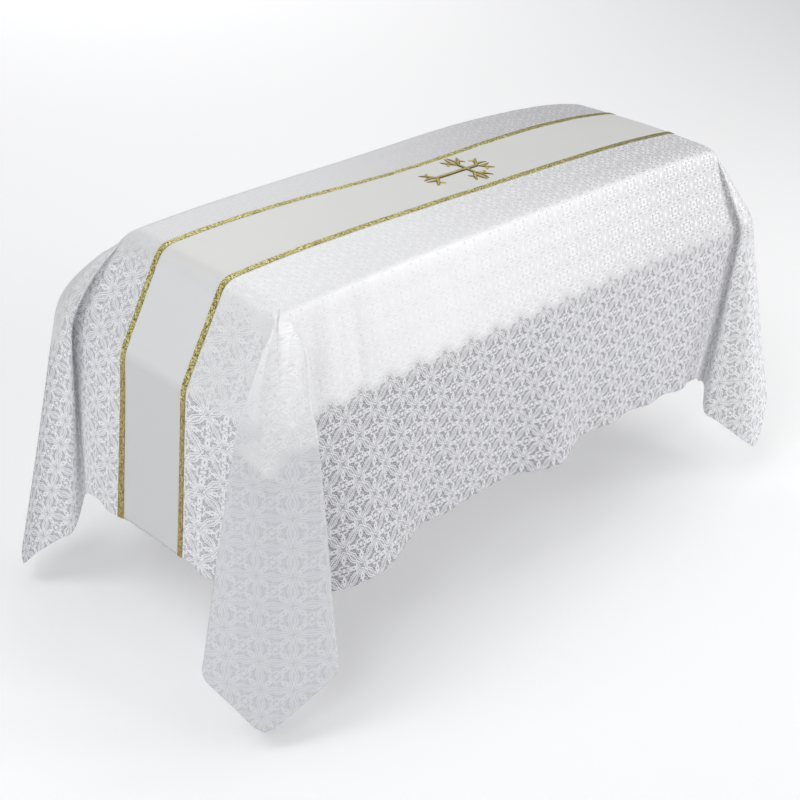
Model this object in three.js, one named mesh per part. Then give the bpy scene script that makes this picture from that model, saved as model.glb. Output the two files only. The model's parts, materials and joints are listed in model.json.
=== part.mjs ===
// A funeral pall, draped as it is used: a flat top, sloping facets, upright skirts and a hanging
// pleat at each corner. The cloth is one hemmed damask sheet with a satin band, two gold braids
// and an embroidered cross sewn on it.
// Millimetres. X runs to the head end, Y across to the far side, Z up. The origin is under the
// middle of the top.
import * as THREE from 'three';

// Driving sizes
const sheet = { length: 3268, width: 2032, thickness: 1.8 };
const top = { halfLength: 899, halfWidth: 251, crown: 22, crownAtSides: 19, headCornerDroop: 30 };
const facet = { reach: 101, drop: 254, hipExtra: 6 };
const bend = { top: 30, rim: 14 };
const pleat = { opening: 0.45, longestRound: 0.46 };
const skirtLean = { end: -10, side: 4 };
const hemCorner = { sharpness: 90 };
const band = { offset: 13.8, skew: -0.0161, thickness: 0.8 };
const braid = { spacing: 213.5, width: 16, thickness: 1.6 };
const seam = { gap: 0.35 };
const cross = { crossing: 60, head: 88, foot: 166, side: 75, arm: 10, thickness: 2.4 };
const flourish = { length: 46, horn: 34, hornSetBack: 24, hornTip: 3, curl: 8, petal: 9, petalTip: 10 };

const slopeLength = Math.hypot(facet.reach, facet.drop);
const fall = {
  end: sheet.length / 2 - top.halfLength,
  side: sheet.width / 2 - top.halfWidth,
};
const topMiddleZ = sheet.thickness / 2;
const topEndZ = topMiddleZ - top.crown;

// A table is rows under named columns.
const table = (columns, rows) => rows.map((cells) => {
  const entries = columns.map((name, i) => [name, cells[i]]);
  return Object.fromEntries(entries);
});

// The four tails. A row is one line of the pleat, from the end panel round to the side panel: how
// far it lies past the top corner, lengthwise and across, at the rim and at the hem, and its angle
// on the flat cloth in degrees. The round is the length of cloth that its bend takes on each side.
const tailColumns = [
  'line', 'rimOut', 'rimAcross', 'rimAngle', 'hemOut', 'hemAcross', 'hemAngle', 'round',
];
const tails = {
  footNear: table(tailColumns, [
    ['end neck', 101, 80, 16, 104, 84, 19, 16],
    ['end tuck', 116, 94, 20, 138, 128, 27, 14],
    ['end fold', 151, 64, 28, 222, 58, 36, 24],
    ['tip', 114, 122, 46, 128, 216, 46.1, 44],
    ['side fold', -4, 152, 62, -48, 270, 57.5, 24],
    ['side tuck', 88, 112, 70, 66, 156, 66, 14],
    ['side neck', 80, 101, 74, 72, 108, 73, 16],
  ]),
  footFar: table(tailColumns, [
    ['end neck', 101, 62, 14, 96, 14, 11, 16],
    ['end tuck', 107, 86, 19, 62, 58, 22, 14],
    ['end fold', 134, 28, 27, 104, 44, 34, 24],
    ['tip', 122, 100, 46, 190, 165, 46.1, 40],
    ['side fold', 40, 150, 63, 40, 262, 58, 24],
    ['side tuck', 90, 112, 71, 72, 150, 68, 14],
    ['side neck', 82, 101, 75, 62, 106, 74, 16],
  ]),
  headNear: table(tailColumns, [
    ['end neck', 101, 76, 16, 104, 72, 17, 16],
    ['end tuck', 113, 88, 20, 132, 112, 25, 14],
    ['end fold', 162, 82, 29, 290, 232, 36, 24],
    ['tip', 114, 130, 46, 182, 300, 46.1, 40],
    ['side fold', 56, 122, 61, 52, 142, 58, 20],
    ['side tuck', 92, 108, 70, 94, 100, 68, 12],
    ['side neck', 80, 101, 74, 46, 106, 74, 14],
  ]),
  headFar: table(tailColumns, [
    ['end neck', 101, 78, 16, 98, 80, 18, 16],
    ['end tuck', 114, 92, 20, 136, 124, 26, 14],
    ['end fold', 148, 70, 29, 226, 84, 36, 24],
    ['tip', 114, 118, 46, 140, 208, 46.1, 44],
    ['side fold', 20, 148, 61, -20, 262, 57, 24],
    ['side tuck', 88, 112, 70, 64, 158, 67, 14],
    ['side neck', 80, 101, 74, 72, 106, 73, 16],
  ]),
};
// Where each line lies at the middle of the slope, before the pleat has closed: along and across.
const openTail = table(['out', 'across'], [
  [100, 62], [112, 74], [142, 52], [124, 124], [44, 142], [74, 112], [62, 100],
]);

// The soft flutes of the skirts. Each stands out most at the hem, at a place along its panel, and
// leans by so much at the rim.
const fluteColumns = ['panel', 'at', 'halfWidth', 'depth', 'lean'];
const flutes = table(fluteColumns, [
  ['near', -640, 240, 62, 30],
  ['near', -330, 90, 8, 20],
  ['near', 125, 185, 54, -40],
  ['near', 430, 110, 12, -20],
  ['near', 640, 110, 14, -10],
  ['near', 800, 90, 16, 10],
  ['far', -520, 210, 34, 30],
  ['far', -60, 150, 26, -20],
  ['far', 340, 180, 40, 20],
  ['far', 700, 120, 20, 0],
  ['foot', -180, 70, 9, 80],
  ['foot', 165, 60, 14, -10],
  ['head', -150, 80, 26, -20],
  ['head', 120, 90, 30, 20],
]);
const fluteGrowth = 1.4;

// Where the columns and rows of the surface run. The end panels' lines follow the braids' edges.
const sideColumns = 28;
const braidEdge = { inner: (braid.spacing - braid.width) / 2, outer: (braid.spacing + braid.width) / 2 };
const farLines = [48, braidEdge.inner, braidEdge.outer, 160, 205, top.halfWidth];
const endLines = [...farLines.map((offset) => -offset).reverse(), 0, ...farLines];
const softSamples = [0, 0.5, 1];
const foldSamples = [0, 0.25, 0.5, 0.75, 1];
const stages = table(['part', 'at'], [
  ['edge', 0], ['edge', 0.35], ['edge', 0.7], ['edge', 1],
  ['slope', 0.4], ['slope', 0.75],
  ['rim', 0], ['rim', 0.5], ['rim', 1],
  ['skirt', 0.25], ['skirt', 0.5], ['skirt', 0.75], ['skirt', 1],
]);

const mix = (a, b, t) => a.map((value, i) => value + (b[i] - value) * t);
const away = (a, b) => Math.hypot(...a.map((value, i) => value - b[i]));
const smooth = (t) => t * t * (3 - 2 * t);
const arcAt = (a, corner, b, t) => mix(mix(a, corner, t), mix(corner, b, t), t);

function topHeight(x, y) {
  const along = 1 - (x / top.halfLength) ** 4;
  const across = top.crown + (top.crownAtSides - top.crown) * (y / top.halfWidth) ** 2;
  const towardsHead = Math.max(x / top.halfLength, 0) ** 6;
  const towardsFar = Math.max(0.5 + 0.5 * y / top.halfWidth, 0) ** 2;
  return topEndZ + Math.max(along, 0) * across - top.headCornerDroop * towardsHead * towardsFar;
}

// A line of the weave that is so far from the middle of the top. The band runs slightly askew, and
// the lines beside it even that out towards the top's long edges.
function lineAcross(offset, x) {
  const shift = band.offset + band.skew * x;
  const past = Math.max(Math.abs(offset) - braidEdge.outer, 0) / (top.halfWidth - braidEdge.outer);
  return offset + shift * (1 - past);
}

function fluteDepth(panel, place, down) {
  let depth = 0;
  for (const flute of flutes) {
    if (flute.panel !== panel) continue;
    const off = (place - flute.at - flute.lean * (1 - down)) / flute.halfWidth;
    if (Math.abs(off) < 1) depth += flute.depth * 0.5 * (1 + Math.cos(Math.PI * off));
  }
  return depth * down ** fluteGrowth;
}

// A column of a flat panel: from the top's edge down the slope to the rim, then down the skirt.
function endColumn(sign, offset) {
  const atCorner = Math.abs(offset) >= top.halfWidth;
  const edgeX = top.halfLength;
  const y = lineAcross(offset, sign * edgeX);
  const inset = atCorner ? Math.sign(offset) * (top.halfWidth - bend.top) : y;
  const inner = [sign * (edgeX - bend.top), inset];
  const edge = [sign * edgeX, y, topHeight(sign * edgeX, y)];
  const rimZ = edge[2] - facet.drop;
  const shift = atCorner ? 0 : lineAcross(offset, sign * (edgeX + slopeLength)) - y;
  const rim = [sign * (edgeX + facet.reach), y + shift, rimZ];
  const drop = fall.end - slopeLength;
  const hemShift = atCorner ? 0 : lineAcross(offset, sign * sheet.length / 2) - y - shift;
  const panel = sign < 0 ? 'foot' : 'head';
  const slope = (t) => mix(edge, rim, t);
  const skirt = (t) => {
    const out = facet.reach + skirtLean.end * t + fluteDepth(panel, y, t);
    return [sign * (edgeX + out), rim[1] + hemShift * t, rimZ - drop * t];
  };
  return { inner, edge, slope, skirt, slopeLength, skirtLength: drop };
}

function sideColumn(sign, x) {
  const atCorner = Math.abs(x) >= top.halfLength;
  const inset = atCorner ? Math.sign(x) * (top.halfLength - bend.top) : x;
  const inner = [inset, sign * (top.halfWidth - bend.top)];
  const edge = [x, sign * top.halfWidth, topHeight(x, sign * top.halfWidth)];
  const rimZ = edge[2] - facet.drop;
  const rim = [x, sign * (top.halfWidth + facet.reach), rimZ];
  const drop = fall.side - slopeLength;
  const panel = sign < 0 ? 'near' : 'far';
  const slope = (t) => mix(edge, rim, t);
  const skirt = (t) => {
    const out = facet.reach + skirtLean.side * t + fluteDepth(panel, x, t);
    return [x, sign * (top.halfWidth + out), rimZ - drop * t];
  };
  return { inner, edge, slope, skirt, slopeLength, skirtLength: drop };
}

// The cloth's reach from a top corner to its hem, at an angle on the flat sheet. The sheet's own
// corner is a little rounded.
function flatReach(angle) {
  const n = hemCorner.sharpness;
  const toEnd = Math.cos(angle) / fall.end;
  const toSide = Math.sin(angle) / fall.side;
  return (toEnd ** n + toSide ** n) ** (-1 / n);
}

// A bend of a path at one of its lines, with the straight runs on each side: places first, then
// the flat angle, which passes through the line's own value.
function roundedAt(path, k, t) {
  const [before, here, after] = [path[k - 1], path[k], path[k + 1]];
  const cut = (other) => {
    const share = Math.min(here.round / away(here.place, other.place), pleat.longestRound);
    const angle = here.angle + (other.angle - here.angle) * share;
    return { place: mix(here.place, other.place, share), angle };
  };
  const [from, to] = [cut(before), cut(after)];
  const place = arcAt(from.place, here.place, to.place, t);
  const [first, middle, last] = [(1 - t) * (1 - 2 * t), 4 * t * (1 - t), t * (2 * t - 1)];
  const angle = first * from.angle + middle * here.angle + last * to.angle;
  return { place, angle };
}

function tailPath(rows, level, lean) {
  const start = { place: [facet.reach + lean.end, 0], angle: 0, round: 0 };
  const end = { place: [0, facet.reach + lean.side], angle: 90, round: 0 };
  const lines = rows.map((row) => ({
    place: [row[`${level}Out`], row[`${level}Across`]],
    angle: row[`${level}Angle`],
    round: row.round,
  }));
  return [start, ...lines, end];
}

// The columns of one tail. Down the slope the pleat closes from its open form to its form at the
// rim, at the cloth's own distance from the corner. Below the rim each column runs straight to the
// hem and keeps its length.
function tailColumnsOf(name, signX, signY) {
  const rows = tails[name];
  const rimPath = tailPath(rows, 'rim', { end: 0, side: 0 });
  const hemPath = tailPath(rows, 'hem', skirtLean);
  const openLines = openTail.map(({ out, across }, i) => {
    const line = rimPath[i + 1];
    return { ...line, place: [out, across] };
  });
  const openPath = [rimPath[0], ...openLines, rimPath.at(-1)];
  const corner = [signX * top.halfLength, signY * top.halfWidth];
  const cornerZ = topHeight(...corner);
  const inner = [signX * (top.halfLength - bend.top), signY * (top.halfWidth - bend.top)];
  const edge = [...corner, cornerZ];
  const put = (place, z) => [corner[0] + signX * place[0], corner[1] + signY * place[1], z];
  const columns = [];
  rows.forEach((row, i) => {
    const samples = row.line.endsWith('fold') ? foldSamples : softSamples;
    for (const t of samples) {
      const open = roundedAt(openPath, i + 1, t);
      const rim = roundedAt(rimPath, i + 1, t);
      const hem = roundedAt(hemPath, i + 1, t);
      const rimRadians = THREE.MathUtils.degToRad(rim.angle);
      const length = slopeLength + facet.hipExtra * Math.sin(2 * rimRadians) ** 2;
      const slope = (s) => {
        const closed = s + (smooth(s) - s) * pleat.opening;
        const place = mix(open.place, rim.place, closed).map((value) => value * s);
        const down = Math.sqrt((length * s) ** 2 - place[0] ** 2 - place[1] ** 2);
        return put(place, cornerZ - down);
      };
      const foldZ = slope(1)[2];
      const skirtLength = flatReach(THREE.MathUtils.degToRad(hem.angle)) - length;
      const drift = away(rim.place, hem.place);
      const drop = Math.sqrt(skirtLength ** 2 - drift ** 2);
      const skirt = (s) => put(mix(rim.place, hem.place, s), foldZ - drop * s);
      columns.push({ inner, edge, slope, skirt, slopeLength: length, skirtLength });
    }
  });
  return columns;
}

// One point of a column at a stage of its way down, with a soft bend at the top's edge and another
// at the rim.
function columnPoint(column, { part, at }) {
  const edgeShare = bend.top / column.slopeLength;
  const rimShare = 1 - bend.rim / column.slopeLength;
  const skirtShare = bend.rim / column.skirtLength;
  if (part === 'edge') {
    const start = [...column.inner, topHeight(...column.inner)];
    return arcAt(start, column.edge, column.slope(edgeShare), at);
  }
  if (part === 'slope') return column.slope(edgeShare + (rimShare - edgeShare) * at);
  if (part === 'rim') return arcAt(column.slope(rimShare), column.slope(1), column.skirt(skirtShare), at);
  return column.skirt(skirtShare + (1 - skirtShare) * at);
}

// All columns, counterclockwise from above
const sideShares = Array.from({ length: sideColumns + 1 }, (_, i) => 2 * i / sideColumns - 1);
const xSteps = sideShares.map((share) => share * top.halfLength);
const innerX = xSteps.slice(1, -1);
const backwards = (list) => [...list].reverse();
const loop = [
  ...endLines.map((offset) => endColumn(1, offset)),
  ...tailColumnsOf('headFar', 1, 1),
  ...backwards(xSteps).map((x) => sideColumn(1, x)),
  ...backwards(tailColumnsOf('footFar', -1, 1)),
  ...backwards(endLines).map((offset) => endColumn(-1, offset)),
  ...tailColumnsOf('footNear', -1, -1),
  ...xSteps.map((x) => sideColumn(-1, x)),
  ...backwards(tailColumnsOf('headNear', 1, -1)),
];

// The middle surface of the cloth: a grid over the top and a ring of columns round it
class Surface {
  points = [];
  faces = [];
  index = new Map();

  add(point) {
    const key = point.map((value) => value.toFixed(3)).join();
    if (!this.index.has(key)) {
      this.index.set(key, this.points.length);
      this.points.push(new THREE.Vector3(...point));
    }
    return this.index.get(key);
  }

  quad(a, b, c, d) {
    for (const face of [[a, b, c], [a, c, d]]) {
      if (new Set(face).size === 3) this.faces.push(face);
    }
  }

  normals() {
    const normals = this.points.map(() => new THREE.Vector3());
    const edges = [new THREE.Vector3(), new THREE.Vector3()];
    for (const [a, b, c] of this.faces) {
      edges[0].subVectors(this.points[b], this.points[a]);
      edges[1].subVectors(this.points[c], this.points[a]);
      const normal = new THREE.Vector3().crossVectors(...edges);
      for (const i of [a, b, c]) normals[i].add(normal);
    }
    return normals.map((normal) => normal.normalize());
  }
}

const cloth = new Surface();
const ring = loop.map((column) => stages.map((stage) => cloth.add(columnPoint(column, stage))));
ring.forEach((column, i) => {
  const next = ring[(i + 1) % ring.length];
  for (let row = 0; row + 1 < stages.length; row += 1) {
    cloth.quad(column[row], column[row + 1], next[row + 1], next[row]);
  }
});

// The top's grid runs between the inner ends of the columns.
const topX = [bend.top - top.halfLength, ...innerX, top.halfLength - bend.top];
const topOffsets = [bend.top - top.halfWidth, ...endLines.slice(1, -1), top.halfWidth - bend.top];
const edgeOverInner = top.halfLength / topX.at(-1);
const topGrid = topX.map((x) => topOffsets.map((offset, j) => {
  const outermost = j === 0 || j === topOffsets.length - 1;
  const y = outermost ? offset : lineAcross(offset, x * edgeOverInner);
  return cloth.add([x, y, topHeight(x, y)]);
}));
for (let i = 0; i + 1 < topX.length; i += 1) {
  for (let j = 0; j + 1 < topOffsets.length; j += 1) {
    cloth.quad(topGrid[i][j], topGrid[i + 1][j], topGrid[i + 1][j + 1], topGrid[i][j + 1]);
  }
}
const clothNormals = cloth.normals();

// A closed sheet between two distances from a surface
function thicken(points, normals, faces, from, to) {
  const shifted = (distance) => points.map((p, i) => p.clone().addScaledVector(normals[i], distance));
  const vertices = [...shifted(from), ...shifted(to)];
  const count = points.length;
  const triangles = [];
  const sides = new Map();
  for (const [a, b, c] of faces) {
    triangles.push([a + count, b + count, c + count], [c, b, a]);
    for (const [p, q] of [[a, b], [b, c], [c, a]]) {
      if (!sides.delete(`${q} ${p}`)) sides.set(`${p} ${q}`, [p, q]);
    }
  }
  for (const [p, q] of sides.values()) {
    triangles.push([p, q, q + count], [p, q + count, p + count]);
  }
  const geometry = new THREE.BufferGeometry();
  const numbers = vertices.flatMap((vertex) => vertex.toArray());
  geometry.setAttribute('position', new THREE.Float32BufferAttribute(numbers, 3));
  geometry.setIndex(triangles.flat());
  geometry.computeVertexNormals();
  return geometry;
}

// A line of the weave from hem to hem: up the foot end, over the top and down the head end
const wholeLine = (j) => {
  const down = (sign) => {
    const column = endColumn(sign, endLines[j]);
    return stages.map((stage) => cloth.add(columnPoint(column, stage)));
  };
  return [...backwards(down(-1)), ...topGrid.slice(1, -1).map((row) => row[j]), ...down(1)];
};

// A strip sewn on the cloth's face, between places that are given as a line's number and the share
// of the way to the next line
function strip(places, thickness) {
  const points = [];
  const normals = [];
  const faces = [];
  for (const { line, share } of places) {
    const [here, next] = [wholeLine(line), wholeLine(line + 1)];
    here.forEach((a, i) => {
      points.push(cloth.points[a].clone().lerp(cloth.points[next[i]], share));
      normals.push(clothNormals[a].clone().lerp(clothNormals[next[i]], share).normalize());
    });
  }
  const rows = points.length / places.length;
  for (let k = 0; k + 1 < places.length; k += 1) {
    for (let i = 0; i + 1 < rows; i += 1) {
      const [a, b] = [k * rows + i, k * rows + i + 1];
      faces.push([a, b, b + rows], [a, b + rows, a + rows]);
    }
  }
  const from = sheet.thickness / 2 + seam.gap;
  return thicken(points, normals, faces, from, from + thickness);
}

const nearLine = endLines.indexOf(-braidEdge.inner);
const farLine = endLines.indexOf(braidEdge.inner);
const inset = seam.gap / (endLines[farLine] - endLines[farLine - 1]);
const bandPlaces = [
  { line: nearLine, share: inset },
  ...endLines.slice(nearLine + 1, farLine).map((_, i) => ({ line: nearLine + 1 + i, share: 0 })),
  { line: farLine - 1, share: 1 - inset },
];
const braidPlaces = (line) => [{ line, share: 0 }, { line: line + 1, share: 0 }];

// The cross has four arms, each ending in a petal between two curled horns. Its long arm points to
// the foot end. An arm's side is drawn along its reach and mirrored.
function crossShape() {
  const half = cross.arm / 2;
  const arms = [cross.head, cross.side, cross.foot, cross.side];
  const shape = new THREE.Shape();
  arms.forEach((reach, i) => {
    const turn = new THREE.Matrix3().makeRotation(i * Math.PI / 2);
    const to = (x, y) => new THREE.Vector2(x, y).applyMatrix3(turn).toArray();
    const fork = reach - flourish.length;
    const hornX = reach - flourish.hornSetBack;
    const budX = hornX - flourish.hornTip;
    const curlX = fork + flourish.curl;
    const petalX = reach - flourish.petalTip;
    const { horn, petal } = flourish;
    if (i === 0) shape.moveTo(...to(half, -half));
    else shape.lineTo(...to(half, -half));
    shape.lineTo(...to(fork, -half));
    shape.quadraticCurveTo(...to(curlX, -horn / 2 - half), ...to(hornX, -horn));
    shape.quadraticCurveTo(...to(budX, -horn / 2), ...to(budX, -petal));
    shape.quadraticCurveTo(...to(petalX, -petal), ...to(reach, 0));
    shape.quadraticCurveTo(...to(petalX, petal), ...to(budX, petal));
    shape.quadraticCurveTo(...to(budX, horn / 2), ...to(hornX, horn));
    shape.quadraticCurveTo(...to(curlX, horn / 2 + half), ...to(fork, half));
    shape.lineTo(...to(half, half));
  });
  shape.closePath();
  return shape;
}

function crossGeometry() {
  const geometry = new THREE.ExtrudeGeometry(crossShape(), {
    depth: cross.thickness,
    bevelEnabled: false,
    curveSegments: 5,
  });
  const centre = [cross.crossing, band.offset + band.skew * cross.crossing];
  const lift = sheet.thickness / 2 + 2 * seam.gap + band.thickness;
  const position = geometry.getAttribute('position');
  for (let i = 0; i < position.count; i += 1) {
    const x = centre[0] + position.getX(i);
    const y = centre[1] + position.getY(i);
    position.setXYZ(i, x, y, topHeight(x, y) + lift + position.getZ(i));
  }
  geometry.computeVertexNormals();
  return geometry;
}

const materials = {
  damask: { color: 0xeceaf0, roughness: 0.6, metalness: 0 },
  satin: { color: 0xf3f1ec, roughness: 0.45, metalness: 0 },
  goldBraid: { color: 0xa08a3c, roughness: 0.4, metalness: 0.8 },
  goldThread: { color: 0xb99531, roughness: 0.45, metalness: 0.7 },
};

function piece(name, geometry, material) {
  const mesh = new THREE.Mesh(geometry, new THREE.MeshStandardMaterial(materials[material]));
  mesh.name = name;
  return mesh;
}

const face = sheet.thickness / 2;
const pall = new THREE.Group();
pall.add(
  piece('pall_cloth', thicken(cloth.points, clothNormals, cloth.faces, -face, face), 'damask'),
  piece('centre_band', strip(bandPlaces, band.thickness), 'satin'),
  piece('braid_near', strip(braidPlaces(nearLine - 1), braid.thickness), 'goldBraid'),
  piece('braid_far', strip(braidPlaces(farLine), braid.thickness), 'goldBraid'),
  piece('cross', crossGeometry(), 'goldThread'),
);

export default pall;
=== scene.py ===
import json
import math

import bmesh
import bpy
import numpy as np
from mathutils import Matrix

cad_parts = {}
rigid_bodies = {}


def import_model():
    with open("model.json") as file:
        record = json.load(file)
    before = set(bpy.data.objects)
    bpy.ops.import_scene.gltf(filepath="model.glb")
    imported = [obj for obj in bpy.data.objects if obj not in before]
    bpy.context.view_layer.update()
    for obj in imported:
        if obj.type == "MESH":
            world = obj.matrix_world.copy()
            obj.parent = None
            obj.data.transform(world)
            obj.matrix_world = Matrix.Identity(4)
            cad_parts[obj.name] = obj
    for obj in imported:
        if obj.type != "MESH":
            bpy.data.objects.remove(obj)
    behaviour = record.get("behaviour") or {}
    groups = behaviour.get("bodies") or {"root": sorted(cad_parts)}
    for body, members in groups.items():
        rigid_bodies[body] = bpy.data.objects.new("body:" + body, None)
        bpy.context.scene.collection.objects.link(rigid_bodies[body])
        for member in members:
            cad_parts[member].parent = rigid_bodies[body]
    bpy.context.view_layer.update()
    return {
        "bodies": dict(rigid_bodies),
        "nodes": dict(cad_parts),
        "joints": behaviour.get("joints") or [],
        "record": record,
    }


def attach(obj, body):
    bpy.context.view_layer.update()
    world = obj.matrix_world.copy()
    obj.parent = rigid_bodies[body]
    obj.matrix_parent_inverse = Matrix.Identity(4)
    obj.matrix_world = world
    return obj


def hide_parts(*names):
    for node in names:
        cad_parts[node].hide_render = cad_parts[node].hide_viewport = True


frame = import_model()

# A funeral pall: one draped damask sheet, a satin band between two gold braids, and an embroidered
# cross. Shapes are worked out in millimetres and put into meshes in metres. X runs to the head end,
# Y to the far side.
mm = 0.001

cloth = {
    "length": 3268,
    "width": 2032,
    "thickness": 1.4,
    "topHalfLength": 899,
    "topHalfWidth": 251,
    "middleHeight": 0.9,  # the sheet's middle over the origin
    "crown": 22,
    "crownAtSides": 19,
    "headCornerDroop": 30,
    "farRise": 13,
    "farRiseAt": 260,
    "farRiseLength": 360,
    "facetReach": 101,
    "facetDrop": 254,
    "hipExtra": 6,
    "topBend": 30,
    "drawnInFrom": (780, 160),  # lengthwise and across
    "rimBend": 26,
    "endLean": -10,
    "sideLean": 4,
    "hemCornerSharpness": 60,
    "pleatOpening": 0.45,
    "longestRound": 0.46,
    "fluteGrowth": 1.4,
    "footSwing": -21,
    "swingWithin": 235,
    "swingFade": 120,
    "swingPower": 0.7,
    "footSweep": 54,
    "sweepFrom": 36,  # degrees round the pleat
    "sweepRise": 22,
    "sweepTo": 70,
    "sweepFall": 5,
    "farSwell": 0.12,
    "foldsFrom": 0.04,
    "foldsWithin": 0.32,
}
sewn = {
    "offset": 13.8,  # the band's middle lies this far towards the far side
    "skew": -0.0161,  # and runs this much askew
    "bow": 24,  # the far braid bows in by this much
    "bowAt": -110,
    "bowLength": 380,
    "braidSpacing": 213.5,
    "braidWidth": 16,
}
halfLength = cloth["topHalfLength"]
halfWidth = cloth["topHalfWidth"]
slopeLength = math.hypot(cloth["facetReach"], cloth["facetDrop"])
fallEnd = cloth["length"] / 2 - halfLength
fallSide = cloth["width"] / 2 - halfWidth
topEndZ = cloth["middleHeight"] - cloth["crown"]
braidInner = (sewn["braidSpacing"] - sewn["braidWidth"]) / 2
braidOuter = (sewn["braidSpacing"] + sewn["braidWidth"]) / 2


def table(columns, rows):
    # Rows of numbers under named columns, as one array for each column
    return dict(zip(columns.split(), np.array(rows, float).T))


# One row for each line of a hanging pleat, from the end panel round to the side panel: how far past
# the top corner it lies, lengthwise and across, at the rim and at the hem, its angle on the flat
# cloth, and the length of cloth that its bend takes on each side at the rim and at the hem.
tailColumns = "rimOut rimAcross rimAngle hemOut hemAcross hemAngle rimRound hemRound"
tails = {
    "footNear": table(tailColumns, [
        (101, 84, 16, 104, 84, 19, 16, 20),
        (114, 100, 20, 138, 128, 27, 14, 20),
        (160, 46, 28, 238, 46, 36, 20, 60),
        (108, 110, 46, 144, 216, 46.1, 44, 70),
        (-8, 156, 62, -64, 280, 57.5, 20, 60),
        (88, 112, 70, 66, 156, 66, 14, 18),
        (80, 101, 74, 72, 108, 73, 16, 18),
    ]),
    "footFar": table(tailColumns, [
        (101, 62, 14, 96, 14, 11, 16, 20),
        (107, 86, 19, 62, 58, 22, 14, 20),
        (136, 30, 27, 104, 44, 34, 24, 30),
        (136, 112, 46, 196, 172, 46.1, 44, 60),
        (44, 168, 63, 40, 266, 58, 30, 34),
        (90, 112, 71, 72, 150, 68, 14, 18),
        (82, 101, 75, 62, 106, 74, 16, 18),
    ]),
    "headNear": table(tailColumns, [
        (101, 76, 16, 104, 72, 17, 16, 20),
        (113, 88, 20, 132, 112, 25, 14, 20),
        (162, 82, 29, 290, 232, 36, 24, 34),
        (114, 130, 46, 182, 300, 46.1, 40, 60),
        (56, 122, 61, 52, 142, 58, 20, 30),
        (92, 108, 70, 94, 100, 68, 12, 18),
        (80, 101, 74, 46, 106, 74, 14, 18),
    ]),
    "headFar": table(tailColumns, [
        (101, 78, 16, 98, 80, 18, 16, 20),
        (114, 92, 20, 136, 124, 26, 14, 20),
        (148, 70, 29, 226, 84, 36, 24, 34),
        (114, 118, 46, 140, 208, 46.1, 44, 70),
        (20, 148, 61, -20, 262, 57, 24, 34),
        (88, 112, 70, 64, 158, 67, 14, 18),
        (80, 101, 74, 72, 106, 73, 16, 18),
    ]),
}
# The same lines at the rim while a pleat is still open
openTails = {
    "footNear": [(100, 66), (110, 78), (154, 42), (112, 118), (22, 146), (74, 112), (62, 100)],
    "other": [(100, 62), (112, 74), (142, 52), (124, 124), (44, 142), (74, 112), (62, 100)],
}

# Soft flutes of the skirts: where each stands out, how wide and deep it is at the hem, and its lean
flutes = {
    "near": table("at halfWidth depth lean", [
        (-655, 285, 76, 30), (-330, 90, 8, 20), (125, 185, 54, -40), (430, 110, 12, -20),
        (640, 110, 14, -10), (800, 90, 16, 10),
    ]),
    "far": table("at halfWidth depth lean", [
        (-520, 210, 34, 30), (-60, 150, 26, -20), (340, 180, 40, 20), (700, 120, 20, 0),
    ]),
    "foot": table("at halfWidth depth lean", [(-180, 70, 9, 80), (165, 60, 14, -10)]),
    "head": table("at halfWidth depth lean", [(-150, 80, 26, -20), (120, 90, 30, 20)]),
}

# How fine the surface is
steps = {
    "sideColumns": 130,
    "bendColumns": 7,
    "runColumns": 5,
    "linesAcross": (11, 5, 13),  # of half the band, a braid, and the damask beside it
    "edgeRows": np.linspace(0, 1, 9),
    "slopeRows": np.linspace(0, 1, 15)[1:-1],
    "rimRows": np.linspace(0, 1, 7),
    "skirtRows": np.linspace(0, 1, 20)[1:],
    "hemRows": np.array([17.5, 15, 12.5, 6, 0]),
    "lastSkirtRow": 21,
}


def mix(a, b, t):
    # From a to b by the share t
    return a + (b - a) * t


def eased(t):
    # A share that starts and stops softly: three times its square less twice its cube
    return t * t * (3 - 2 * t)


def bell(place, at, length):
    # e to the power of minus the square of the way from its middle over its length
    return np.exp(-((place - at) / length) ** 2)


def arc(a, corner, b, t):
    # A quadratic curve from a to b that leans towards the corner, at the shares t
    t = np.asarray(t)[None, :, None]
    a, corner, b = a[:, None], corner[:, None], b[:, None]
    return mix(mix(a, corner, t), mix(corner, b, t), t)


def topHeight(x, y):
    # The top's crown falls with the fourth power of the way to the ends, a little less across. The
    # far head corner droops, and the far edge rises by a bell along its length.
    along = np.maximum(1 - (x / halfLength) ** 4, 0)
    across = cloth["crown"] + (cloth["crownAtSides"] - cloth["crown"]) * (y / halfWidth) ** 2
    towardsHead = np.maximum(x / halfLength, 0) ** 6
    towardsFar = np.maximum(0.5 + 0.5 * y / halfWidth, 0) ** 2
    farRise = cloth["farRise"] * np.maximum(y / halfWidth, 0) ** 2
    farRise = farRise * bell(x, cloth["farRiseAt"], cloth["farRiseLength"])
    return topEndZ + along * across + farRise - cloth["headCornerDroop"] * towardsHead * towardsFar


def lineAcross(offset, x):
    # Where a line of the weave lies: its offset plus the band's shift, which fades beyond the braids.
    # The far braid bows in by a bell along its length, and the band with it by the square of the way.
    past = np.maximum(abs(offset) - braidOuter, 0) / (halfWidth - braidOuter)
    wayAcross = np.clip(0.5 + 0.5 * offset / braidOuter, 0, 1) ** 2
    bow = sewn["bow"] * wayAcross * bell(x, sewn["bowAt"], sewn["bowLength"])
    return offset + (sewn["offset"] + sewn["skew"] * x - bow) * (1 - past)


def fluteDepth(panel, place, down):
    # Each flute is a raised cosine across its width, and grows from the rim to the hem
    rows = flutes[panel]
    centre = rows["at"] + rows["lean"] * (1 - down[..., None])
    off = np.clip((place[..., None] - centre) / rows["halfWidth"], -1, 1)
    return (rows["depth"] * (0.5 + 0.5 * np.cos(math.pi * off))).sum(-1) * down ** cloth["fluteGrowth"]


def points(*parts):
    # Five numbers for each point: x, y, z and its place on the flat cloth, lengthwise and across
    return np.stack(np.broadcast_arrays(*parts), axis=-1).astype(float)


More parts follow.
